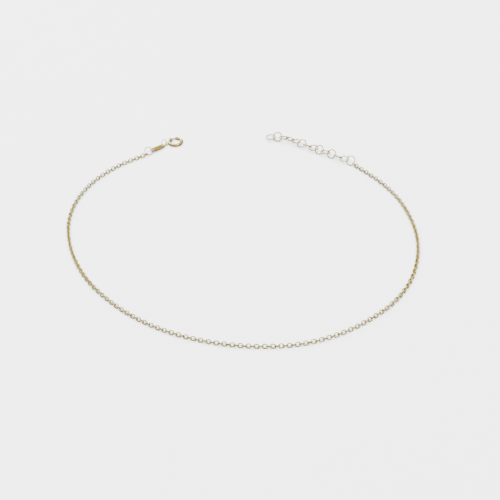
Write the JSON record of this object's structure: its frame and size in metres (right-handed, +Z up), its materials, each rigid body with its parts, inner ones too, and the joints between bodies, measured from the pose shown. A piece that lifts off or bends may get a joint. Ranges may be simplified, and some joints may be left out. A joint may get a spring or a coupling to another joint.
{
  "type": "chain anklet",
  "caption": "Fine gold cable-chain anklet lying open, with a spring ring clasp, an end tag and an extender of round rings.",
  "frame": {"origin": "on the surface that it lies on, under the middle of its bounding box", "axes": "+Z up from the surface; +X across the loop, from the clasp's side to the extender's; +Y from the front of the loop to its open end"},
  "size_m": [0.0896, 0.0886, 0.0022],
  "materials": {
    "gold": "polished pale yellow gold",
    "tag_gold": "polished deeper yellow gold"
  },
  "bodies": {
    "anklet": {"chain": "gold", "jump_ring_tag": "gold", "end_tag": "tag_gold", "jump_ring_clasp": "gold", "clasp_ring": "gold", "extender_ring_01": "gold", "extender_ring_02": "gold", "extender_ring_03": "gold", "extender_ring_04": "gold", "extender_ring_05": "gold", "extender_ring_06": "gold", "extender_ring_07": "gold", "extender_ring_08": "gold", "extender_ring_09": "gold", "extender_ring_10": "gold", "extender_ring_11": "gold", "extender_ring_12": "gold", "extender_ring_13": "gold", "extender_jump_ring": "gold"},
    "lever": {"clasp_lever": "gold"}
  },
  "joints": [
    {"name": "clasp_lever_slide", "type": "hinge", "parent": "anklet", "child": "lever", "pos_m": [-0.01665, 0.04225, 0.0004], "axis": [0, 0, 1], "range_deg": [0, 41], "stiffness_Nm_per_rad": 0.0001}
  ]
}
